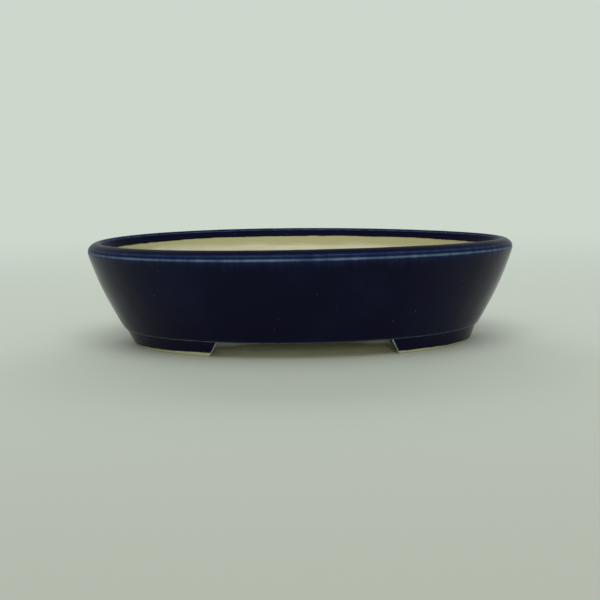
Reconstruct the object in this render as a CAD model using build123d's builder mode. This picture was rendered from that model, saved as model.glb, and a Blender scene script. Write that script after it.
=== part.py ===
"""Shallow oval bonsai pot in glazed stoneware, in millimetres, +Z up.

The origin is the centre of the pot, on the surface that its feet stand on. +X runs along the
pot's length and +Y across it, from the front to the back.

The pot is put together as a potter does it: a flat floor slab with its drain and wire holes, a
flared wall band that laps over the edge of the slab, a lip band closing the top of the wall, and
two C-shaped feet stuck under the ends. A coat of glaze covers the outside, turns over the lip and
stops a little way down the inside, and it stops short of the ground on the feet.

Everything but the floor is one section carried round an oval. A section is drawn where the oval
crosses +X, so a point in it is (distance from the centre of the pot, height).
"""

import os
from math import hypot, sqrt

from build123d import *

# ---------------------------------------------------------------- driving dimensions

# Overall size, over the glaze.
pot_length = 216.0
pot_width = 168.0
pot_height = 51.7

# Wall: it leans out from the foot line to the bead, and bows out a little on the way.
wall_flare = 17.8
wall_bow = 1.4
wall_thickness = 6.5

# Lip: it rises from the bead, its widest line, to a crest near the inner edge.
lip_rise = 4.2
lip_crest_inset = 5.6
lip_inner_drop = 1.0
inner_glaze_depth = 4.3

# Floor slab. The wall laps over the slab's edge and coves into the top of it.
floor_thickness = 7.0
floor_lap = 3.5
cove_size = 5.0

# Drain holes along the long axis, and wire holes for tying the tree in.
drain_hole_diameter = 18.0
drain_hole_spacing = 76.0
wire_hole_diameter = 5.0
wire_hole_spacing_x = 112.0
wire_hole_spacing_y = 44.0
hole_edge_round = 0.8

# Feet: set in under the wall, leaning in towards the ground, with a gap at the front and back.
foot_height = 8.0
foot_ledge = 0.6
foot_batter = 4.3
foot_top_width = 9.5
foot_base_width = 7.0
foot_gap_at_top = 82.0
foot_gap_at_base = 90.0
foot_edge_round = 0.6

# Glaze coat, and the bare strip that it leaves at the bottom of the feet.
glaze_thickness = 0.5
foot_bare_height = 1.3

# ---------------------------------------------------------------- sizes worked out from them

rim_half_length = pot_length / 2
rim_half_width = pot_width / 2
bead_height = pot_height - lip_rise
floor_top = foot_height + floor_thickness

# The wall's outer face is an arc from the foot line to the bead.
wall_rise = bead_height - foot_height
wall_chord = hypot(wall_flare, wall_rise)
wall_radius = (wall_chord**2 / 4 + wall_bow**2) / (2 * wall_bow)
centre_shift = (wall_radius - wall_bow) / wall_chord
wall_centre_x = rim_half_length - wall_flare / 2 - centre_shift * wall_rise
wall_centre_z = (foot_height + bead_height) / 2 + centre_shift * wall_flare

# Depths below the outer face of the glaze, square to the wall.
clay_depth = glaze_thickness
slab_edge_depth = clay_depth + floor_lap
inside_depth = clay_depth + wall_thickness
inner_glaze_face_depth = inside_depth + glaze_thickness


def wall_at(height, depth):
    """Point at this height on the face that lies this deep under the wall's outer face."""
    reach = sqrt((wall_radius - depth) ** 2 - (height - wall_centre_z) ** 2)
    return (wall_centre_x + reach, height)


def wall_face(low, high, depth):
    """Arc of the face that lies this deep under the wall's outer face, between two heights."""
    return ThreePointArc(wall_at(low, depth), wall_at((low + high) / 2, depth), wall_at(high, depth))


# Corners of the lip, over the glaze and under it.
crest = (rim_half_length - lip_crest_inset, pot_height)
crest_clay = (crest[0], pot_height - glaze_thickness)
arris_height = pot_height - lip_inner_drop

# The bead seen from above is the oval that every section is carried round.
with BuildLine() as outline:
    EllipticalCenterArc((0, 0), rim_half_length, rim_half_width, -180, arc_size=180)
    mirror(about=Plane.XZ)
oval = outline.wire()

# ---------------------------------------------------------------- floor slab

with BuildPart() as floor_slab:
    with BuildSketch(Plane.XY.offset(foot_height)):
        Ellipse(rim_half_length, rim_half_width)
    extrude(amount=floor_thickness)

    # The edge is trimmed to the lean of the wall that laps over it.
    with BuildSketch(Plane.XZ):
        with BuildLine():
            wall_face(foot_height - floor_lap, floor_top + floor_lap, slab_edge_depth)
            Polyline(
                wall_at(floor_top + floor_lap, slab_edge_depth),
                (rim_half_length + floor_lap, floor_top + floor_lap),
                (rim_half_length + floor_lap, foot_height - floor_lap),
                wall_at(foot_height - floor_lap, slab_edge_depth),
            )
        make_face()
    sweep(path=oval, mode=Mode.SUBTRACT)

    with BuildSketch(Plane.XY.offset(floor_top)):
        with GridLocations(drain_hole_spacing, 0, 2, 1):
            Circle(drain_hole_diameter / 2)
        with GridLocations(wire_hole_spacing_x, wire_hole_spacing_y, 2, 2):
            Circle(wire_hole_diameter / 2)
    extrude(amount=-floor_thickness, mode=Mode.SUBTRACT)
    fillet(floor_slab.edges().filter_by(GeomType.CIRCLE), hole_edge_round)

# ---------------------------------------------------------------- wall band

# The cove runs equally far up the wall and in over the slab, so that it meets both smoothly.
cove_foot = wall_at(floor_top, inside_depth)
cove_top_height = floor_top + cove_size * wall_rise / wall_chord

with BuildPart() as wall_band:
    with BuildSketch(Plane.XZ):
        with BuildLine():
            wall_face(foot_height, bead_height, clay_depth)
            Line(wall_at(bead_height, clay_depth), wall_at(bead_height, inside_depth))
            wall_face(cove_top_height, bead_height, inside_depth)
            TangentArc(
                (cove_foot[0] - cove_size, floor_top),
                wall_at(cove_top_height, inside_depth),
                tangent=(1, 0),
            )
            Line((cove_foot[0] - cove_size, floor_top), wall_at(floor_top, slab_edge_depth))
            wall_face(foot_height, floor_top, slab_edge_depth)
            Line(wall_at(foot_height, slab_edge_depth), wall_at(foot_height, clay_depth))
        make_face()
    sweep(path=oval)

# ---------------------------------------------------------------- lip band

with BuildPart() as lip_band:
    with BuildSketch(Plane.XZ):
        with BuildLine():
            TangentArc(crest_clay, wall_at(bead_height, clay_depth), tangent=(1, 0))
            TangentArc(crest_clay, wall_at(arris_height, inside_depth), tangent=(-1, 0))
            wall_face(bead_height, arris_height, inside_depth)
            Line(wall_at(bead_height, inside_depth), wall_at(bead_height, clay_depth))
        make_face()
    sweep(path=oval)

# ---------------------------------------------------------------- glaze on the wall and the lip

with BuildPart() as glaze_wall:
    with BuildSketch(Plane.XZ):
        with BuildLine():
            wall_face(foot_height, bead_height, 0)
            Line(wall_at(bead_height, 0), wall_at(bead_height, clay_depth))
            wall_face(foot_height, bead_height, clay_depth)
            Line(wall_at(foot_height, clay_depth), wall_at(foot_height, 0))
        make_face()
    sweep(path=oval)

inner_glaze_low = pot_height - inner_glaze_depth

with BuildPart() as glaze_lip:
    with BuildSketch(Plane.XZ):
        with BuildLine():
            TangentArc(crest, wall_at(bead_height, 0), tangent=(1, 0))
            TangentArc(crest, wall_at(arris_height, inner_glaze_face_depth), tangent=(-1, 0))
            wall_face(inner_glaze_low, arris_height, inner_glaze_face_depth)
            Line(wall_at(inner_glaze_low, inner_glaze_face_depth), wall_at(inner_glaze_low, inside_depth))
            wall_face(inner_glaze_low, arris_height, inside_depth)
            TangentArc(crest_clay, wall_at(arris_height, inside_depth), tangent=(-1, 0))
            TangentArc(crest_clay, wall_at(bead_height, clay_depth), tangent=(1, 0))
            Line(wall_at(bead_height, clay_depth), wall_at(bead_height, 0))
        make_face()
    sweep(path=oval)

# ---------------------------------------------------------------- feet and their glaze

# Both leans are run per unit of height, and the glaze is measured square to each face.
foot_face_x = rim_half_length - wall_flare - foot_ledge
foot_lean = foot_batter / foot_height
end_lean = (foot_gap_at_base - foot_gap_at_top) / 2 / foot_height
glaze_on_face = glaze_thickness * hypot(1, foot_lean)
glaze_on_end = glaze_thickness * hypot(1, end_lean)


def foot_body(face_set_back, end_set_back):
    """Right-hand foot, with its outer face and both ends set back from the face of the glaze."""
    with BuildPart() as foot:
        with BuildSketch(Plane.XZ):
            with BuildLine():
                Polyline(
                    (foot_face_x - face_set_back, foot_height),
                    (foot_face_x - face_set_back - foot_batter, 0),
                    (foot_face_x - foot_batter - foot_base_width, 0),
                    (foot_face_x - foot_top_width, foot_height),
                    close=True,
                )
            make_face()
        sweep(path=oval)

        # The gap is one straight cut through the front and the back, wider at the ground.
        gap_at_top = foot_gap_at_top / 2 + end_set_back
        gap_at_base = foot_gap_at_base / 2 + end_set_back
        with BuildSketch(Plane.XZ):
            with BuildLine():
                Polyline(
                    (-gap_at_top, foot_height),
                    (gap_at_top, foot_height),
                    (gap_at_base, 0),
                    (-gap_at_base, 0),
                    close=True,
                )
            make_face()
        extrude(amount=pot_width, both=True, mode=Mode.SUBTRACT)
        split(bisect_by=Plane.YZ, keep=Keep.TOP)
    return foot.part


with BuildPart() as foot_right:
    add(foot_body(glaze_on_face, glaze_on_end))

with BuildPart() as glaze_foot_right:
    add(foot_body(0, 0))
    add(foot_right.part, mode=Mode.SUBTRACT)
    split(bisect_by=Plane.XY.offset(foot_bare_height), keep=Keep.TOP)

with foot_right:
    ground_edges = foot_right.faces().sort_by(Axis.Z)[0].edges()
    fillet(ground_edges, foot_edge_round)

with BuildPart() as foot_left:
    mirror(foot_right.part, about=Plane.YZ)

with BuildPart() as glaze_foot_left:
    mirror(glaze_foot_right.part, about=Plane.YZ)

# ---------------------------------------------------------------- one file for each piece

pieces = {
    "floor_slab": floor_slab,
    "wall_band": wall_band,
    "lip_band": lip_band,
    "foot_left": foot_left,
    "foot_right": foot_right,
    "glaze_wall": glaze_wall,
    "glaze_lip": glaze_lip,
    "glaze_foot_left": glaze_foot_left,
    "glaze_foot_right": glaze_foot_right,
}

os.makedirs("parts", exist_ok=True)
for name, piece in pieces.items():
    piece.part.label = name
    export_step(piece.part, f"parts/{name}.step")
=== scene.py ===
from math import copysign, cos, exp, hypot, pi, radians, sin, sqrt

import bmesh
import bpy
from mathutils import Matrix, Vector, noise
from mathutils.geometry import delaunay_2d_cdt


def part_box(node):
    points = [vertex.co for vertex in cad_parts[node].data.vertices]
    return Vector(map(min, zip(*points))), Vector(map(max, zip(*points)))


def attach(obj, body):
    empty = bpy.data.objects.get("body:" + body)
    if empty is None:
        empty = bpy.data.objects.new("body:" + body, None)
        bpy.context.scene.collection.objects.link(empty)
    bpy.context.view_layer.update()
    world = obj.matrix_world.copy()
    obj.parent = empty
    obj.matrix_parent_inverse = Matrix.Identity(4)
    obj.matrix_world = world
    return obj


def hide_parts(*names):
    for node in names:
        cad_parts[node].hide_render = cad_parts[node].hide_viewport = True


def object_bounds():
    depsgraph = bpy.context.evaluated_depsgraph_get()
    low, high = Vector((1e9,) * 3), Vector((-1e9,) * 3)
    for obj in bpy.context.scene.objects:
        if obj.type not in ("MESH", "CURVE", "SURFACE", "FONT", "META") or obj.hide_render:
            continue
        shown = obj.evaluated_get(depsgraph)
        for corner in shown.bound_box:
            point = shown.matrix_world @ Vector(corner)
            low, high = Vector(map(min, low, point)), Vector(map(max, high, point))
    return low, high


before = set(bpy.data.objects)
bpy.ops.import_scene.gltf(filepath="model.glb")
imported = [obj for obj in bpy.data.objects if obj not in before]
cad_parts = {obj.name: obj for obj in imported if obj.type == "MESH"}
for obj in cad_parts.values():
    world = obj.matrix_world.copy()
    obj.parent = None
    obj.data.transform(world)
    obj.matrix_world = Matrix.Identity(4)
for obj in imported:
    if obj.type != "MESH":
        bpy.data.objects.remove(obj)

cad_low, cad_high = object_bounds()

# ------------------------------------------------------------------ floor slab
# The floor is a slab of cream stoneware, rolled out flat and trimmed oval with a slanting edge.
# Two drain holes and four wire holes are punched through it with a tube cutter while the clay is
# leather hard, and their edges are sponged round. It is left bare, and it carries the wall.

MM = 0.001

half_length = cad_high.x / MM
half_width = cad_high.y / MM
pot_height = cad_high.z / MM
floor_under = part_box("floor_slab")[0].z / MM
floor_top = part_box("floor_slab")[1].z / MM
bead_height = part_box("glaze_wall")[1].z / MM
foot_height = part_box("glaze_wall")[0].z / MM

wall_flare = 17.8
wall_bow = 1.4
glaze_depth = 0.5
wall_thickness = 6.5
inside_depth = glaze_depth + wall_thickness
floor_lap = 3.5
slab_edge_depth = glaze_depth + floor_lap

drain_holes = [(-38.0, 0.0), (38.0, 0.0)]
wire_holes = [(x, y) for x in (-56.0, 56.0) for y in (-22.0, 22.0)]
drain_radius = 9.0
wire_radius = 2.5
hole_edge_round = 0.8
hole_edge_steps = 6
drain_edge_count = 60
wire_edge_count = 28
slab_edge_count = 240
slab_grain = 3.2
sharp_edge = radians(50)
weld_distance = 0.002
rim_crown = 0.3
rim_tilt = 0.3
rim_droop = 0.75
rim_twist = 0.9
drying_drift = 0.3
drift_lumps_per_mm = 0.011
drift_squash = 1.6


def wall_inset(height, depth):
    """How far in from the bead's oval the wall lies at this height, this deep under its face."""
    rise = bead_height - foot_height
    chord = hypot(wall_flare, rise)
    radius = (chord**2 / 4 + wall_bow**2) / (2 * wall_bow)
    shift = (radius - wall_bow) / chord
    centre_inset = wall_flare / 2 + shift * rise
    centre_height = (foot_height + bead_height) / 2 + shift * wall_flare
    return centre_inset - sqrt((radius - depth) ** 2 - (height - centre_height) ** 2)


def oval_point(turn, inset, height):
    """Point at this turn round the pot, set in square to the bead's oval. Lengths in mm."""
    square = Vector((half_width * cos(turn), half_length * sin(turn))).normalized()
    x = half_length * cos(turn) - square.x * inset
    y = half_width * sin(turn) - square.y * inset
    return Vector((x, y, height))


def hand_made(point):
    """Where a point of the true form ends up on the pot.

    Firing warps the rim: its middle stands up, its two ends droop, one more than the other, and
    each long side twists, up towards one end and down towards the other. Drying moves the wall
    sideways a little, most at the rim. The feet stay true."""
    slow = Vector((point.x, point.y, point.z * drift_squash)) * drift_lumps_per_mm
    drift = Vector((noise.noise(slow), noise.noise(slow + Vector((7, 3, 1))), 0))
    along = point.x / half_length
    lift = rim_crown - rim_tilt * along - rim_droop * along**2
    lift -= rim_twist * along * point.y / half_width
    up = min(max((point.z - foot_height) / (pot_height - foot_height), 0), 1)
    return point + (drift * drying_drift + Vector((0, 0, lift))) * up


def new_piece(name, verts, faces, replaced, material, marks=None):
    """Mesh object from points in mm and faces, in place of its CAD nodes, riding with the pot.

    marks gives, by name, one number for each point, for the material to read."""
    mesh = bpy.data.meshes.new(name)
    mesh.from_pydata([hand_made(Vector(v)) * MM for v in verts], [], faces)
    for label, values in (marks or {}).items():
        mesh.attributes.new(label, "FLOAT", "POINT").data.foreach_set("value", values)
    work = bmesh.new()
    work.from_mesh(mesh)
    bmesh.ops.remove_doubles(work, verts=work.verts, dist=weld_distance * MM)
    bmesh.ops.recalc_face_normals(work, faces=work.faces)
    for face in work.faces:
        face.smooth = True
    for edge in work.edges:
        edge.smooth = edge.calc_face_angle(0) < sharp_edge
    work.to_mesh(mesh)
    work.free()
    piece = bpy.data.objects.new(name, mesh)
    bpy.context.scene.collection.objects.link(piece)
    piece.data.materials.append(material)
    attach(piece, "root")
    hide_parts(*replaced)


def add_node(tree, kind, **settings):
    """Shader node with these settings; a setting named after an input sets that input."""
    node = tree.nodes.new(kind)
    for key, value in settings.items():
        if key in node.inputs:
            node.inputs[key].default_value = value
        else:
            setattr(node, key, value)
    return node


def new_group(name, inputs, outputs):
    """Shader node group with named sockets, and its two end nodes."""
    group = bpy.data.node_groups.new(name, "ShaderNodeTree")
    for label, kind, value in inputs:
        socket = group.interface.new_socket(label, in_out="INPUT", socket_type=kind)
        socket.default_value = value
    for label, kind in outputs:
        group.interface.new_socket(label, in_out="OUTPUT", socket_type=kind)
    return group, group.nodes.new("NodeGroupInput"), group.nodes.new("NodeGroupOutput")


def surface_noise(tree, coordinates, scale, detail, roughness=0.5):
    """Noise over the surface, in features per metre."""
    texture = add_node(tree, "ShaderNodeTexNoise", Scale=scale, Detail=detail, Roughness=roughness)
    tree.links.new(coordinates, texture.inputs["Vector"])
    return texture.outputs["Fac"]


def remap(tree, value, low, high, to_low=0.0, to_high=1.0):
    """A value stretched from one range to another, smoothly and held at both ends."""
    node = add_node(tree, "ShaderNodeMapRange", interpolation_type="SMOOTHSTEP")
    node.inputs["From Min"].default_value = low
    node.inputs["From Max"].default_value = high
    node.inputs["To Min"].default_value = to_low
    node.inputs["To Max"].default_value = to_high
    tree.links.new(value, node.inputs["Value"])
    return node.outputs["Result"]


def combine(tree, operation, first, second):
    """Maths on two values, where the second may be a plain number."""
    node = add_node(tree, "ShaderNodeMath", operation=operation)
    tree.links.new(first, node.inputs[0])
    if isinstance(second, (int, float)):
        node.inputs[1].default_value = second
    else:
        tree.links.new(second, node.inputs[1])
    return node.outputs[0]


def blend_colour(tree, amount, first, second):
    """Colour blended from first to second, each a socket or a plain colour."""
    node = add_node(tree, "ShaderNodeMix", data_type="RGBA")
    tree.links.new(amount, node.inputs["Factor"])
    for label, colour in (("A", first), ("B", second)):
        socket = next(s for s in node.inputs if s.name == label and s.type == "RGBA")
        if isinstance(colour, tuple):
            socket.default_value = (*colour, 1)
        else:
            tree.links.new(colour, socket)
    return next(s for s in node.outputs if s.type == "RGBA")


def fired_clay_group():
    """Bare stoneware: warm patches, a darker ochre band wherever the Rim Band input is up, fine sand in
    the clay and faint lines left by the sponge."""
    group, start, end = new_group(
        "fired_clay",
        [
            ("Clay", "NodeSocketColor", (0.52, 0.48, 0.28, 1)),
            ("Toasted", "NodeSocketColor", (0.40, 0.35, 0.21, 1)),
            ("Sand", "NodeSocketColor", (0.24, 0.19, 0.11, 1)),
            ("Rim Band Colour", "NodeSocketColor", (0.45, 0.44, 0.26, 1)),
            ("Rim Band", "NodeSocketFloat", 0.0),
            ("Sponge Lines", "NodeSocketFloat", 0.4),
        ],
        [
            ("Colour", "NodeSocketColor"),
            ("Roughness", "NodeSocketFloat"),
            ("Height", "NodeSocketFloat"),
        ],
    )
    place = add_node(group, "ShaderNodeTexCoord").outputs["Object"]
    patches = remap(group, surface_noise(group, place, 28, 4), 0.42, 0.68)
    mottle = remap(group, surface_noise(group, place, 160, 6, 0.65), 0.40, 0.70)
    sand = remap(group, surface_noise(group, place, 1500, 2), 0.70, 0.76)
    grit = surface_noise(group, place, 2600, 3, 0.6)

    flat = add_node(group, "ShaderNodeMapping")
    flat.inputs["Scale"].default_value = (20, 20, 650)
    group.links.new(place, flat.inputs["Vector"])
    lines = remap(group, surface_noise(group, flat.outputs["Vector"], 1, 4), 0.35, 0.65)
    lines = combine(group, "MULTIPLY", lines, start.outputs["Sponge Lines"])

    warmed = combine(group, "MULTIPLY", patches, 0.35)
    body = blend_colour(group, warmed, start.outputs["Clay"], start.outputs["Toasted"])
    washed = combine(group, "MULTIPLY", mottle, 0.45)
    body = blend_colour(group, washed, body, start.outputs["Clay"])
    lined = combine(group, "MULTIPLY", lines, 0.35)
    body = blend_colour(group, lined, body, start.outputs["Toasted"])
    # The Rim Band amount turns the clay a darker ochre, streaked a little by the mottle.
    rim_banded = blend_colour(group, lined, start.outputs["Rim Band Colour"], start.outputs["Toasted"])
    streaks = combine(group, "ADD", start.outputs["Rim Band"], combine(group, "MULTIPLY", mottle, 0.25))
    rim_band = combine(group, "MULTIPLY", remap(group, streaks, 0.1, 0.9), start.outputs["Rim Band"])
    body = blend_colour(group, rim_band, body, rim_banded)
    specks = combine(group, "MULTIPLY", sand, 0.55)
    body = blend_colour(group, specks, body, start.outputs["Sand"])
    group.links.new(body, end.inputs["Colour"])
    group.links.new(remap(group, mottle, 0, 1, 0.78, 0.95), end.inputs["Roughness"])
    relief = combine(group, "ADD", combine(group, "MULTIPLY", grit, 0.5), lines)
    group.links.new(relief, end.inputs["Height"])
    return group


def clay_material(name, lines, clay_colour, toasted):
    """Dry cream stoneware, with its own colours and share of sponge lines."""
    material = bpy.data.materials.new(name)
    material.use_nodes = True
    tree = material.node_tree
    shader = tree.nodes["Principled BSDF"]
    clay = add_node(tree, "ShaderNodeGroup", node_tree=fired_clay)
    clay.inputs["Sponge Lines"].default_value = lines
    clay.inputs["Clay"].default_value = (*clay_colour, 1)
    clay.inputs["Toasted"].default_value = (*toasted, 1)
    beside_glaze = add_node(tree, "ShaderNodeAttribute", attribute_name="rim_band")
    tree.links.new(beside_glaze.outputs["Fac"], clay.inputs["Rim Band"])
    bump = add_node(tree, "ShaderNodeBump", Strength=0.5, Distance=0.00018)
    tree.links.new(clay.outputs["Height"], bump.inputs["Height"])
    tree.links.new(clay.outputs["Colour"], shader.inputs["Base Color"])
    tree.links.new(clay.outputs["Roughness"], shader.inputs["Roughness"])
    tree.links.new(bump.outputs["Normal"], shader.inputs["Normal"])
    shader.inputs["Specular IOR Level"].default_value = 0.25
    return material


def oval_loop(inset, height, count):
    """Points of one level line round the pot."""
    return [oval_point(2 * pi * i / count, inset, height) for i in range(count)]


def hole_loop(centre, radius, height, count):
    """Points of one level line round a hole."""
    turns = [2 * pi * i / count for i in range(count)]
    return [Vector((centre[0] + radius * cos(t), centre[1] + radius * sin(t), height)) for t in turns]


def bridge(verts, faces, loops):
    """Adds loops of equal count, each joined to the next by a band of quads."""
    start = len(verts)
    count = len(loops[0])
    for loop in loops:
        verts.extend(loop)
    for row in range(len(loops) - 1):
        for i in range(count):
            here = start + row * count
            j = (i + 1) % count
            faces.append((here + i, here + j, here + count + j, here + count + i))


def outline_covers(loop, point):
    """Whether a closed level line holds this point."""
    inside = False
    for i, here in enumerate(loop):
        there = loop[i - 1]
        if (here.y > point.y) != (there.y > point.y):
            crossing = here.x + (point.y - here.y) / (there.y - here.y) * (there.x - here.x)
            if point.x < crossing:
                inside = not inside
    return inside


def flat_face(verts, faces, edge, holes, height, grain):
    """Flat face between a piece's edge and its holes, in triangles of about one size.

    Its inner points stand in staggered rows, and clear of every edge by about half a triangle."""
    flat = []
    rings = []
    for loop in [edge] + holes:
        first = len(flat)
        flat.extend(Vector((p.x, p.y)) for p in loop)
        rings.extend((first + i, first + (i + 1) % len(loop)) for i in range(len(loop)))
    fence = list(flat)
    low = Vector((min(p.x for p in fence), min(p.y for p in fence)))
    high = Vector((max(p.x for p in fence), max(p.y for p in fence)))
    row_height = grain * 0.866
    for row in range(int((high.y - low.y) / row_height) + 1):
        for column in range(int((high.x - low.x) / grain) + 1):
            spot = low + Vector(((column + 0.5 * (row % 2)) * grain, row * row_height))
            if min((spot - f).length_squared for f in fence) > (grain * 0.55) ** 2:
                flat.append(spot)
    points, _, triangles, *_ = delaunay_2d_cdt(flat, rings, [], 0, 1e-6)
    start = len(verts)
    verts.extend(Vector((p.x, p.y, height)) for p in points)
    for triangle in triangles:
        middle = sum((points[i] for i in triangle), Vector((0, 0))) / 3
        if outline_covers(edge, middle) and not any(outline_covers(hole, middle) for hole in holes):
            faces.append(tuple(start + i for i in triangle))


fired_clay = fired_clay_group()
inside_clay = clay_material("bare_clay_inside", 0.9, (0.68, 0.68, 0.55), (0.42, 0.39, 0.22))
foot_clay = clay_material("bare_clay_foot", 0.2, (0.54, 0.54, 0.40), (0.48, 0.47, 0.32))

slab_verts = []
slab_faces = []
top_edge = oval_loop(wall_inset(floor_top, slab_edge_depth), floor_top, slab_edge_count)
under_edge = oval_loop(wall_inset(floor_under, slab_edge_depth), floor_under, slab_edge_count)
top_holes = []
under_holes = []
hole_kinds = [
    (drain_holes, drain_radius, drain_edge_count),
    (wire_holes, wire_radius, wire_edge_count),
]
for centres, radius, count in hole_kinds:
    for centre in centres:
        level_lines = []
        for step in range(hole_edge_steps + 1):
            bend = step / hole_edge_steps * pi / 2
            out = radius + hole_edge_round * (1 - sin(bend))
            level_lines.append((out, floor_top - hole_edge_round * (1 - cos(bend))))
        for out, height in list(reversed(level_lines)):
            level_lines.append((out, floor_top + floor_under - height))
        loops = [hole_loop(centre, out, height, count) for out, height in level_lines]
        bridge(slab_verts, slab_faces, loops)
        top_holes.append(loops[0])
        under_holes.append(loops[-1])
bridge(slab_verts, slab_faces, [top_edge, under_edge])
flat_face(slab_verts, slab_faces, top_edge, top_holes, floor_top, slab_grain)
flat_face(slab_verts, slab_faces, under_edge, under_holes, floor_under, slab_grain)
new_piece("floor_slab_clay", slab_verts, slab_faces, ["floor_slab"], inside_clay)

# ------------------------------------------------------------------ wall band
# The wall is a strip of the same clay, pressed round the oval mould so that it leans out and bows
# a little. It laps over the edge of the floor, and the seam inside is filled with a roll of clay
# that is rubbed down into a cove. The inside stays bare and keeps the lines of the rib.

cove_size = 5.0
cove_rise = 4.5
cove_steps = 10
# The inside of the wall is coloured a darker ochre under the rim: the band starts this far below the
# crest, in mm, and reaches full strength over the next few mm upwards.
rim_band_from = 11.0
rim_band_reach = 3.5
wall_arris_round = 0.7
wall_arris_steps = 6
wall_rows = 60
inside_rows = 40
foot_ledge = 0.6
bead_round = 1.3
lip_crest_inset = 5.6
crest_clay_height = pot_height - glaze_depth
bead_steps = 6
round_the_pot = 480


def curve(start, corner, end, steps):
    """Points of a soft bend from start to end, pulled towards a corner."""
    points = []
    for i in range(steps + 1):
        s = i / steps
        ahead = (1 - s) ** 2
        behind = s * s
        middle = 2 * s * (1 - s)
        points.append(tuple(ahead * a + middle * c + behind * b for a, c, b in zip(start, corner, end)))
    return points


def wall_line(low, high, depth, steps):
    """Points up the wall between two heights, this deep under the face of its glaze."""
    heights = [low + (high - low) * i / steps for i in range(steps + 1)]
    return [(wall_inset(height, depth), height) for height in heights]


def crest_arc(end, low, steps):
    """Arc that leaves the lip's crest level, aimed at an end point, and stops at the height low."""
    run = lip_crest_inset - end[0]
    drop = crest_clay_height - end[1]
    radius = (run**2 + drop**2) / (2 * drop)
    centre_height = crest_clay_height - radius
    reach = copysign(sqrt(radius**2 - (low - centre_height) ** 2), run)
    points = []
    for i in range(steps + 1):
        across = reach * i / steps
        points.append((lip_crest_inset - across, centre_height + sqrt(radius**2 - across**2)))
    return points


def bead_bend():
    """Rounded bead under the glaze. The wall has its lower half and the lip its upper half."""
    below = bead_height - bead_round
    bead = (wall_inset(bead_height, glaze_depth), bead_height)
    above = crest_arc(bead, bead_height + bead_round, 1)[-1]
    return curve((wall_inset(below, glaze_depth), below), bead, above, 2 * bead_steps)


def wall_clay_face():
    """Outside of the wall under the glaze: across the ledge, round the arris and up to the bead."""
    arris = (wall_inset(foot_height, glaze_depth), foot_height)
    above = foot_height + wall_arris_round
    ledge = (wall_flare + foot_ledge + glaze_depth, foot_height)
    bend = curve(
        (arris[0] + wall_arris_round, foot_height),
        arris,
        (wall_inset(above, glaze_depth), above),
        wall_arris_steps,
    )
    face = wall_line(above, bead_height - bead_round, glaze_depth, wall_rows)
    return [ledge] + bend + face[1:] + bead_bend()[1 : bead_steps + 1]


def ring(sections):
    """Verts and faces of a closed section carried all the way round the oval."""
    verts = []
    faces = []
    count = len(sections)
    rows = len(sections[0])
    for i, section in enumerate(sections):
        turn = 2 * pi * i / count
        verts.extend(oval_point(turn, inset, height) for inset, height in section)
    for i in range(count):
        here = i * rows
        there = (i + 1) % count * rows
        for j in range(rows):
            k = (j + 1) % rows
            faces.append((here + j, there + j, there + k, here + k))
    return verts, faces


cove_foot = wall_inset(floor_top, inside_depth)
cove_top = floor_top + cove_rise
wall_section = wall_clay_face()
wall_section += wall_line(cove_top, bead_height, inside_depth, inside_rows)[::-1]
wall_section += curve(
    (wall_inset(cove_top, inside_depth), cove_top),
    (cove_foot, floor_top),
    (cove_foot + cove_size, floor_top),
    cove_steps,
)[1:]
wall_section.append((wall_inset(floor_top, slab_edge_depth), floor_top))
wall_section.append((wall_inset(floor_under, slab_edge_depth), floor_under))
wall_verts, wall_faces = ring([wall_section] * round_the_pot)
# The top of the inside wall is coloured darker and more ochre, fading out downwards with some wander.
rim_band_height = pot_height - rim_band_from
wall_rim_band = [
    min(max((point.z - rim_band_height) / rim_band_reach + 0.5 * noise.noise(point / 18), 0), 1)
    for point in wall_verts
]
new_piece(
    "wall_band_clay",
    wall_verts,
    wall_faces,
    ["wall_band"],
    inside_clay,
    {"rim_band": wall_rim_band},
)

# ------------------------------------------------------------------ lip band
# The lip is a coil of clay laid along the top of the wall and pressed over a template. It is
# bevelled from the bead, the widest line of the pot, up to a crest near the inner edge, and the
# inner arris is wiped just enough to take its sharpness off.

lip_inner_drop = 1.0
bevel_steps = 18
inner_bevel_steps = 8
arris_round = 0.5
arris_steps = 6
lip_inside_rows = 6
arris_height = pot_height - lip_inner_drop
arris_low = arris_height - arris_round


def lip_clay_face():
    """Top of the lip under the glaze: from the bead over the crest and round the inner arris."""
    bead = (wall_inset(bead_height, glaze_depth), bead_height)
    arris = (wall_inset(arris_height, inside_depth), arris_height)
    outer = crest_arc(bead, bead_height + bead_round, bevel_steps)[::-1]
    inner = crest_arc(arris, arris_height + arris_round / 2, inner_bevel_steps)
    bend = curve(inner[-1], arris, (wall_inset(arris_low, inside_depth), arris_low), arris_steps)
    return bead_bend()[bead_steps:-1] + outer + inner[1:] + bend[1:]


lip_section = lip_clay_face()
lip_section += wall_line(bead_height, arris_low, inside_depth, lip_inside_rows)[::-1][1:]
lip_verts, lip_faces = ring([lip_section] * round_the_pot)
new_piece("lip_band_clay", lip_verts, lip_faces, ["lip_band"], inside_clay)

# ------------------------------------------------------------------ feet
# Two C-shaped feet are cut from one ring of slab clay and stuck on under the ends with slip. They
# lean in towards the ground. The gap is cut straight through with a wire, so no two of its four
# ends are quite alike, and the edges on the ground are wiped round and left bare.

foot_batter = {"left": 4.3, "right": 3.0}
foot_top_width = 9.5
foot_base_width = 7.0
gap_half_at_top = 40.2
gap_half_at_base = 44.2
foot_edge_round = 0.7
foot_arris_round = 0.9
foot_edge_steps = 6
foot_side_rows = 12
corner_steps = 6
end_steps = 10
face_steps = 150
search_steps = 40
small_turn = 0.01
# Measured level, the glaze on a leaning face is a little deeper than it is thick.
glaze_level = glaze_depth * 1.13
foot_grain = 2.6
# How much further into the gap the inner corner of each cut reaches, in mm: front, then back.
cut_splay = {"right": (1.2, 0.5), "left": (0.15, 0.8)}


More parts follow.
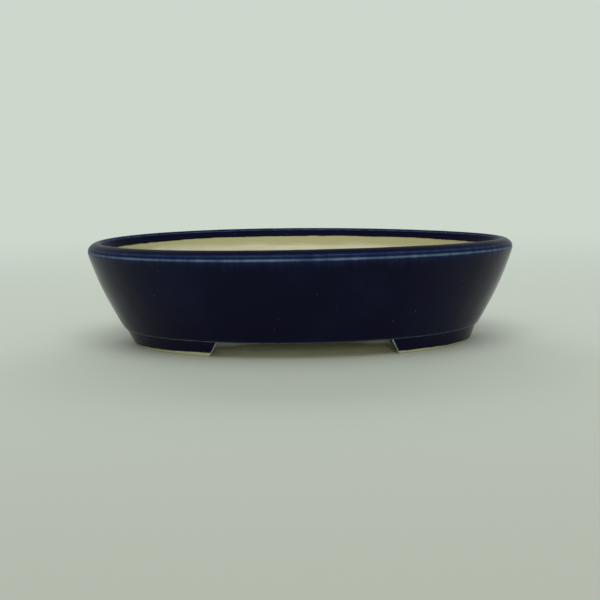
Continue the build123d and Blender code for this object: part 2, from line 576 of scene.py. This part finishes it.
def turn_at(inset, height, reach):
    """Turn from the pot's end at which the oval set in this far comes in to x = reach."""
    low, high = 0.0, pi / 2
    for _ in range(search_steps):
        middle = (low + high) / 2
        if oval_point(middle, inset, height).x > reach:
            low = middle
        else:
            high = middle
    return low


def foot_level(height, side, inwards=0.0):
    """Level line round a foot: front cut, outer face, back cut, inner face; mirrored on the left.

    It is drawn in by inwards all round, and its four upright corners are softened."""
    down = 1 - height / foot_height
    face_top = wall_flare + foot_ledge
    outer = face_top + glaze_level + foot_batter[side] * down + inwards
    inner_top = face_top + foot_top_width
    inner_base = face_top + foot_batter[side] + foot_base_width
    inner = inner_top + (inner_base - inner_top) * down - inwards
    reach = gap_half_at_top + (gap_half_at_base - gap_half_at_top) * down
    reach += glaze_level + inwards
    front_splay, back_splay = cut_splay[side]
    corner_turn = turn_at(outer, height, reach)
    front_inner = turn_at(inner, height, reach - front_splay)
    back_inner = turn_at(inner, height, reach - back_splay)
    step = oval_point(corner_turn, outer, 0) - oval_point(corner_turn - small_turn, outer, 0)
    round_turn = small_turn * foot_arris_round / step.length

    inner_front = oval_point(-front_inner, inner, height)
    outer_front = oval_point(-corner_turn, outer, height)
    outer_back = oval_point(corner_turn, outer, height)
    inner_back = oval_point(back_inner, inner, height)
    front_cut = (outer_front - inner_front).normalized() * foot_arris_round
    back_cut = (outer_back - inner_back).normalized() * foot_arris_round
    face_from = -corner_turn + round_turn
    face_to = corner_turn - round_turn
    inside_from = back_inner - round_turn
    inside_to = -front_inner + round_turn

    def along(start, end, inset):
        turns = [start + (end - start) * i / face_steps for i in range(1, face_steps)]
        return [oval_point(turn, inset, height) for turn in turns]

    def straight(start, end):
        return [start.lerp(end, i / end_steps) for i in range(1, end_steps)]

    points = curve(
        oval_point(inside_to, inner, height), inner_front, inner_front + front_cut, corner_steps
    )
    points += straight(inner_front + front_cut, outer_front - front_cut)
    points += curve(
        outer_front - front_cut, outer_front, oval_point(face_from, outer, height), corner_steps
    )
    points += along(face_from, face_to, outer)
    points += curve(
        oval_point(face_to, outer, height), outer_back, outer_back - back_cut, corner_steps
    )
    points += straight(outer_back - back_cut, inner_back + back_cut)
    points += curve(
        inner_back + back_cut, inner_back, oval_point(inside_from, inner, height), corner_steps
    )
    points += along(inside_from, inside_to, inner)
    mirrored = -1 if side == "left" else 1
    return [Vector((mirrored * p[0], p[1], p[2])) for p in points]


def make_foot(side):
    """One foot: level lines stacked from the ground up, closed flat above and below."""
    verts = []
    faces = []
    levels = []
    for step in range(foot_edge_steps + 1):
        bend = step / foot_edge_steps * pi / 2
        height = foot_edge_round * (1 - cos(bend))
        levels.append(foot_level(height, side, foot_edge_round * (1 - sin(bend))))
    for step in range(1, foot_side_rows + 1):
        height = foot_edge_round + (foot_height - foot_edge_round) * step / foot_side_rows
        levels.append(foot_level(height, side))
    bridge(verts, faces, levels)
    flat_face(verts, faces, levels[0], [], 0.0, foot_grain)
    flat_face(verts, faces, levels[-1], [], foot_height, foot_grain)
    new_piece(f"foot_{side}_clay", verts, faces, [f"foot_{side}"], foot_clay)


for side in ("left", "right"):
    make_foot(side)

# ------------------------------------------------------------------ glaze on the wall
# The whole outside is dipped in a cobalt glaze that fires almost black where it lies thick. It
# pulls back from sharp edges, so it thins to a pale line along the bead and along the arris above
# the feet, and there the light clay shows through it. It turns under the wall and meets the feet.

wall_glaze = 0.5
glaze_at_bead = 0.4
glaze_at_arris = 0.3
glaze_feather = 0.03


def near(distance, reach):
    """1 on a line, falling off to nothing a few times reach away from it."""
    return exp(-((distance / reach) ** 2))


def ripple(point, size):
    """Slow unevenness between -1 and 1 over the glaze, in lumps of about this many mm."""
    return noise.noise(point / size)


def lengths_along(row):
    """Running length of a line of points."""
    total = [0.0]
    for here, there in zip(row, row[1:]):
        total.append(total[-1] + (there - here).length)
    return total


def shell(under, coat, closed):
    """Verts, faces and thin marks of a coat of glaze over a grid of points on the clay.

    under is a list of lines of points. coat(station, row, point) gives how thick the glaze is
    there, in mm, and how much of the clay shows through it."""
    stations = len(under)
    rows = len(under[0])
    verts = []
    thin = []
    for i, line in enumerate(under):
        before = under[(i - 1) % stations] if closed or i > 0 else line
        after = under[(i + 1) % stations] if closed or i < stations - 1 else line
        for j, point in enumerate(line):
            around = after[j] - before[j]
            along = line[min(j + 1, rows - 1)] - line[max(j - 1, 0)]
            thickness, bare = coat(i, j, point)
            verts.append(point)
            verts.append(point + around.cross(along).normalized() * thickness)
            thin += [bare, bare]
    faces = []
    for i in range(stations if closed else stations - 1):
        here = i * rows
        there = (i + 1) % stations * rows
        for j in range(rows - 1):
            a, b, c, d = here + j, there + j, there + j + 1, here + j + 1
            faces.append((2 * a + 1, 2 * b + 1, 2 * c + 1, 2 * d + 1))
            faces.append((2 * d, 2 * c, 2 * b, 2 * a))
        for j in (0, rows - 1):
            faces.append((2 * (here + j), 2 * (there + j), 2 * (there + j) + 1, 2 * (here + j) + 1))
    if not closed:
        for i in (0, stations - 1):
            for j in range(rows - 1):
                a = i * rows + j
                faces.append((2 * a, 2 * a + 1, 2 * a + 3, 2 * a + 2))
    return verts, faces, thin


def cobalt_glaze_group():
    """Gloss glaze whose colour breaks from near black through cobalt to pale as it thins."""
    group, start, end = new_group(
        "cobalt_glaze",
        [
            ("Thin", "NodeSocketFloat", 0.0),
            ("Thick Colour", "NodeSocketColor", (0.0028, 0.0028, 0.019, 1)),
            ("Cobalt Colour", "NodeSocketColor", (0.010, 0.022, 0.085, 1)),
            ("Edge Colour", "NodeSocketColor", (0.10, 0.16, 0.20, 1)),
            ("Mottle", "NodeSocketFloat", 0.5),
        ],
        [
            ("Colour", "NodeSocketColor"),
            ("Roughness", "NodeSocketFloat"),
            ("Height", "NodeSocketFloat"),
        ],
    )
    place = add_node(group, "ShaderNodeTexCoord").outputs["Object"]
    clouds = surface_noise(group, place, 26, 4, 0.6)
    curdle = surface_noise(group, place, 420, 5, 0.6)
    drip = add_node(group, "ShaderNodeMapping")
    drip.inputs["Scale"].default_value = (260, 260, 45)
    group.links.new(place, drip.inputs["Vector"])
    drips = surface_noise(group, drip.outputs["Vector"], 1, 3)

    uneven = combine(group, "ADD", combine(group, "MULTIPLY", curdle, 0.35), drips)
    uneven = combine(group, "SUBTRACT", uneven, 0.675)
    uneven = combine(group, "MULTIPLY", uneven, 0.4)
    thin = combine(group, "ADD", start.outputs["Thin"], uneven)

    mottle = combine(group, "MULTIPLY", remap(group, clouds, 0.45, 0.75), start.outputs["Mottle"])
    cobalt = combine(group, "MAXIMUM", remap(group, thin, 0.05, 0.55), mottle)
    thick = start.outputs["Thick Colour"]
    colour = blend_colour(group, cobalt, thick, start.outputs["Cobalt Colour"])
    broken = remap(group, thin, 0.45, 1.0)
    colour = blend_colour(group, broken, colour, start.outputs["Edge Colour"])
    cells = add_node(group, "ShaderNodeTexVoronoi", Scale=150)
    group.links.new(place, cells.inputs["Vector"])
    pinholes = remap(group, cells.outputs["Distance"], 0.03, 0.06, 1.0, 0.0)
    specks = combine(group, "MULTIPLY", pinholes, 0.3)
    colour = blend_colour(group, specks, colour, start.outputs["Edge Colour"])
    group.links.new(colour, end.inputs["Colour"])

    smears = remap(group, surface_noise(group, place, 60, 5, 0.6), 0.35, 0.75, 0.14, 0.26)
    dull = combine(group, "MULTIPLY", broken, 0.14)
    group.links.new(combine(group, "ADD", smears, dull), end.inputs["Roughness"])
    peel = combine(group, "MULTIPLY", surface_noise(group, place, 300, 2), 0.6)
    peel = combine(group, "SUBTRACT", peel, pinholes)
    group.links.new(peel, end.inputs["Height"])
    return group


def glaze_material(name, edge_colour, mottle):
    """Gloss cobalt glaze over cream clay, with the colour it takes where it breaks on an edge."""
    material = bpy.data.materials.new(name)
    material.use_nodes = True
    tree = material.node_tree
    shader = tree.nodes["Principled BSDF"]
    mark = add_node(tree, "ShaderNodeAttribute", attribute_name="thin")
    glaze = add_node(tree, "ShaderNodeGroup", node_tree=cobalt_glaze)
    glaze.inputs["Edge Colour"].default_value = (*edge_colour, 1)
    glaze.inputs["Mottle"].default_value = mottle
    tree.links.new(mark.outputs["Fac"], glaze.inputs["Thin"])
    bump = add_node(tree, "ShaderNodeBump", Strength=0.35, Distance=0.00008)
    tree.links.new(glaze.outputs["Height"], bump.inputs["Height"])
    tree.links.new(glaze.outputs["Colour"], shader.inputs["Base Color"])
    tree.links.new(glaze.outputs["Roughness"], shader.inputs["Roughness"])
    tree.links.new(bump.outputs["Normal"], shader.inputs["Normal"])
    shader.inputs["Specular IOR Level"].default_value = 0.10
    return material


cobalt_glaze = cobalt_glaze_group()
wall_glaze_material = glaze_material("cobalt_glaze_wall", (0.12, 0.19, 0.26), 0.13)
foot_glaze_material = glaze_material("cobalt_glaze_foot", (0.36, 0.40, 0.32), 0.15)

wall_line_mm = wall_clay_face()
wall_under = [
    [oval_point(2 * pi * i / round_the_pot, inset, height) for inset, height in wall_line_mm]
    for i in range(round_the_pot)
]
wall_lengths = lengths_along(wall_under[0])
arris_at = wall_lengths[1 + wall_arris_steps // 2]


def bead_break(point):
    """How far the glaze breaks on the bead here: it lies thicker in some stretches."""
    return 0.80 + 0.14 * ripple(point, 24) + 0.08 * ripple(point, 6)


def wall_coat(station, row, point):
    """Thickest just above the foot, where it runs to, and thin on both edges."""
    to_bead = wall_lengths[-1] - wall_lengths[row]
    to_arris = abs(wall_lengths[row] - arris_at)
    thickness = wall_glaze + 0.05 * ripple(point, 9) + 0.06 * near(to_arris - 4, 3)
    thickness -= (wall_glaze - glaze_at_bead) * near(to_bead, 1.2)
    thickness -= (wall_glaze - glaze_at_arris) * near(to_arris, 0.8)
    below_bead = 0.34 * exp(-to_bead / 3.2)
    bare = max(bead_break(point) * near(to_bead, 0.8), 0.78 * near(to_arris, 0.5), below_bead)
    return thickness, bare


wall_verts, wall_faces, wall_thin = shell(wall_under, wall_coat, True)
new_piece(
    "glaze_wall_coat",
    wall_verts,
    wall_faces,
    ["glaze_wall"],
    wall_glaze_material,
    {"thin": wall_thin},
)

# ------------------------------------------------------------------ glaze on the lip
# The same coat goes over the lip. It runs off the bevel, where it is thin enough to fire a bright
# cobalt, lies thicker on the crest, breaks again on the inner arris, and ends a few millimetres down
# the inside in a rolled edge that wanders, because the pot was dipped and wiped by hand.

inner_glaze_depth = 4.45
deeper_at_ends = 0.6
edge_roll = 0.8
inner_glaze_rows = 24


def inner_glaze_low(turn):
    """Height at which the glaze ends inside, at this turn round the pot."""
    around = Vector((cos(turn), sin(turn), 0))
    wander = 0.45 * noise.noise(around * 3.1) + 0.22 * noise.noise(around * 17)
    wander += 0.10 * noise.noise(around * 60)
    return pot_height - inner_glaze_depth - deeper_at_ends * cos(turn) ** 4 + wander


lip_top_mm = lip_clay_face()
lip_under = []
for i in range(round_the_pot):
    turn = 2 * pi * i / round_the_pot
    inside = wall_line(inner_glaze_low(turn), arris_height, inside_depth, inner_glaze_rows)[::-1][1:]
    lip_under.append([oval_point(turn, inset, height) for inset, height in lip_top_mm + inside])
lip_runs = [lengths_along(line) for line in lip_under]
lip_lengths = lip_runs[0]
inner_arris_at = lip_lengths[len(lip_top_mm) - 1 - arris_steps // 2]
crest_at = lip_lengths[bead_steps + bevel_steps]


def lip_coat(station, row, point):
    """Thin on the bead and the inner arris, and thickest where it rolls to its edge.

    The clay shows through most on the bead, then on the inner arris, the bevel and the crest."""
    from_bead = lip_lengths[row]
    to_arris = abs(from_bead - inner_arris_at)
    run = lip_runs[station]
    to_edge = run[-1] - run[row]
    thickness = wall_glaze + 0.04 * ripple(point, 7) + 0.12 * near(to_edge - 0.7, 0.6)
    thickness -= (wall_glaze - glaze_at_bead) * near(from_bead, 1.2)
    thickness -= 0.15 * near(to_arris, 0.6)
    rolled = min(to_edge / edge_roll, 1)
    thickness = glaze_feather + (thickness - glaze_feather) * sqrt(1 - (1 - rolled) ** 2)
    bevel = max(0.26 * near(max(from_bead - 1.4, 0), 1.2), 0.55 * near(from_bead - 1.75, 0.8))
    crest = 0.12 * near(from_bead - crest_at, 1.5)
    bead = bead_break(point) * near(from_bead, 0.8)
    bare = max(bead, bevel, crest, 0.62 * near(to_arris, 0.6))
    return thickness, bare


lip_verts, lip_faces, lip_thin = shell(lip_under, lip_coat, True)
new_piece(
    "glaze_lip_coat",
    lip_verts,
    lip_faces,
    ["glaze_lip"],
    wall_glaze_material,
    {"thin": lip_thin},
)

# ------------------------------------------------------------------ glaze on the feet
# The feet are dipped with the pot and wiped clean along the bottom, so that they don't stick to
# the kiln shelf. The glaze covers their outer faces and cut ends, breaks cream along the upright
# arrises, and stops a millimetre or two off the ground in a scalloped edge.

bare_at_end = 0.8
bare_by_gap = {"left": 1.9, "right": 1.3}
foot_glaze = 0.46
foot_edge_roll = 0.7
# The bare strip is narrow beyond this distance from the pot's centre, and widens towards the gap.
strip_narrow_beyond = 84.0
strip_widens_over = 30.0
foot_rows = 16
foot_levels = 60


def bare_height(point, side):
    """Height at which the glaze on a foot ends: low at the pot's end, higher towards the gap."""
    by_gap = min(max((strip_narrow_beyond - abs(point.x)) / strip_widens_over, 0), 1)
    height = bare_at_end + (bare_by_gap[side] - bare_at_end) * by_gap
    wander = 0.25 * ripple(point, 14) + 0.30 * ripple(point, 5) + 0.14 * ripple(point, 1.8)
    return height + wander * (0.5 + 0.5 * by_gap)


def make_foot_glaze(side):
    """The coat on one foot, from the inner end of its front cut round to that of its back cut."""
    front_arris = corner_steps + end_steps + corner_steps // 2
    back_arris = front_arris + corner_steps + face_steps
    cut_span = corner_steps + end_steps
    base = foot_level(foot_edge_round, side)
    stack = [foot_level(foot_height * n / foot_levels, side) for n in range(foot_levels + 1)]
    columns = []
    for i in range(front_arris - cut_span, back_arris + cut_span + 1):
        low = bare_height(base[i], side)
        column = []
        for row in range(foot_rows + 1):
            at = (low + (foot_height - low) * row / foot_rows) / foot_height * foot_levels
            n = min(int(at), foot_levels - 1)
            column.append(stack[n][i].lerp(stack[n + 1][i], at - n))
        columns.append(column)
    if side == "left":
        columns.reverse()
    run = lengths_along([column[foot_rows // 2] for column in columns])
    arrises = (run[cut_span], run[-1 - cut_span])

    def coat(station, row, point):
        """Thin on the upright arrises and rolled off at the bottom and at the inner ends."""
        to_arris = min(abs(run[station] - arris) for arris in arrises)
        to_low = (point - columns[station][0]).length
        to_end = min(run[station], run[-1] - run[station])
        thickness = foot_glaze + 0.05 * ripple(point, 5) + 0.08 * near(to_low - foot_edge_roll, 0.5)
        thickness -= 0.2 * near(to_arris, 0.6)
        rolled = min(to_low / foot_edge_roll, to_end / foot_edge_roll, 1)
        thickness = glaze_feather + (thickness - glaze_feather) * sqrt(1 - (1 - rolled) ** 2)
        bare = max(near(to_arris, 0.42), 0.5 * near(to_low, 0.5), near(to_end, 2.0))
        bare = max(bare, 0.35 * exp(-to_low / 1.4))
        return thickness, bare

    verts, faces, thin = shell(columns, coat, False)
    new_piece(
        f"glaze_foot_{side}_coat",
        verts,
        faces,
        [f"glaze_foot_{side}"],
        foot_glaze_material,
        {"thin": thin},
    )


for side in ("left", "right"):
    make_foot_glaze(side)

# ------------------------------------------------------------------ floor, light and camera
# A wide pale floor that fades out into the backdrop all round, with painted shade darkening its colour
# towards the front, soft light from behind, above and in front of the pot, and the camera low in front
# of it.

floor_radius = 1.4
fade_centre = (0, -0.2, 0)
fade_from = 0.3
fade_to = 1.2
bpy.ops.mesh.primitive_circle_add(vertices=96, radius=floor_radius, fill_type="NGON")
ground = bpy.context.object
ground.name = "pale_floor"
pale = bpy.data.materials.new("pale_floor")
pale.use_nodes = True
pale_tree = pale.node_tree
pale_shader = pale_tree.nodes["Principled BSDF"]
pale_shader.inputs["Roughness"].default_value = 0.95
pale_shader.inputs["Specular IOR Level"].default_value = 0.1
floor_place = add_node(pale_tree, "ShaderNodeTexCoord").outputs["Object"]
floor_axes = add_node(pale_tree, "ShaderNodeSeparateXYZ")
pale_tree.links.new(floor_place, floor_axes.inputs[0])
# Painted shade: the floor's colour darkens towards the front, standing in for the light falling off
# towards the camera.
painted_falloff = remap(pale_tree, floor_axes.outputs["Y"], -0.45, 0.05)
painted_floor_shade = blend_colour(pale_tree, painted_falloff, (0.53, 0.56, 0.505), (0.68, 0.725, 0.665))
pale_tree.links.new(painted_floor_shade, pale_shader.inputs["Base Color"])
from_middle = add_node(pale_tree, "ShaderNodeVectorMath", operation="DISTANCE")
from_middle.inputs[1].default_value = fade_centre
pale_tree.links.new(floor_place, from_middle.inputs[0])
fade = remap(pale_tree, from_middle.outputs["Value"], fade_from, fade_to, 1.0, 0.0)
pale_tree.links.new(fade, pale_shader.inputs["Alpha"])
ground.data.materials.append(pale)

world = bpy.context.scene.world or bpy.data.worlds.new("room")
bpy.context.scene.world = world
world.use_nodes = True
room = world.node_tree.nodes["Background"]
room.inputs["Color"].default_value = (0.27, 0.30, 0.29, 1)
room.inputs["Strength"].default_value = 1.0
backdrop = add_node(world.node_tree, "ShaderNodeBackground", Color=(0.61, 0.68, 0.605, 1))
seen = add_node(world.node_tree, "ShaderNodeLightPath").outputs["Is Camera Ray"]
either = add_node(world.node_tree, "ShaderNodeMixShader")
world.node_tree.links.new(seen, either.inputs[0])
world.node_tree.links.new(room.outputs[0], either.inputs[1])
world.node_tree.links.new(backdrop.outputs[0], either.inputs[2])
world_output = world.node_tree.nodes["World Output"]
world.node_tree.links.new(either.outputs[0], world_output.inputs["Surface"])


def soft_light(name, place, width, height, power, colour):
    """Soft oblong lamp at a place, aimed at the pot and not mirrored in its glaze."""
    lamp = bpy.data.lights.new(name, "AREA")
    lamp.shape = "RECTANGLE"
    lamp.size = width
    lamp.size_y = height
    lamp.energy = power
    lamp.color = colour
    light = bpy.data.objects.new(name, lamp)
    bpy.context.scene.collection.objects.link(light)
    light.location = place
    light.rotation_euler = (-Vector(place)).to_track_quat("-Z", "Y").to_euler()
    light.visible_glossy = False


soft_light("back_light", (0.05, 2.0, 1.0), 3.0, 1.0, 28.0, (1, 1, 0.98))
soft_light("top_light", (0, -0.45, 1.75), 1.2, 1.2, 3.6, (1, 1, 0.98))
soft_light("front_light", (0.05, -1.1, 1.7), 1.6, 1.4, 11.0, (1, 1, 0.97))
soft_light("low_fill", (0, -2.0, 0.40), 0.5, 0.5, 12.0, (1, 0.9, 0.6))

camera_place = Vector((-0.0006, -0.5822, 0.0923))
camera_pitch = 0.124
camera_roll = -0.015
pot_swing = 0.022
swing = Matrix.Rotation(-pot_swing, 3, "Z")
forward = swing @ Vector((0, cos(camera_pitch), -sin(camera_pitch)))
right = swing @ Vector((1, 0, 0))
up = right.cross(forward)
level_right = right * cos(camera_roll) + up * sin(camera_roll)
level_up = up * cos(camera_roll) - right * sin(camera_roll)
camera_data = bpy.data.cameras.new("camera")
camera_data.lens = 68.4
camera_data.sensor_width = 36.0
camera = bpy.data.objects.new("camera", camera_data)
bpy.context.scene.collection.objects.link(camera)
turn_camera = Matrix((level_right, level_up, -forward)).transposed().to_4x4()
camera.matrix_world = Matrix.Translation(swing @ camera_place) @ turn_camera
bpy.context.scene.camera = camera
bpy.context.scene.view_settings.view_transform = "Standard"
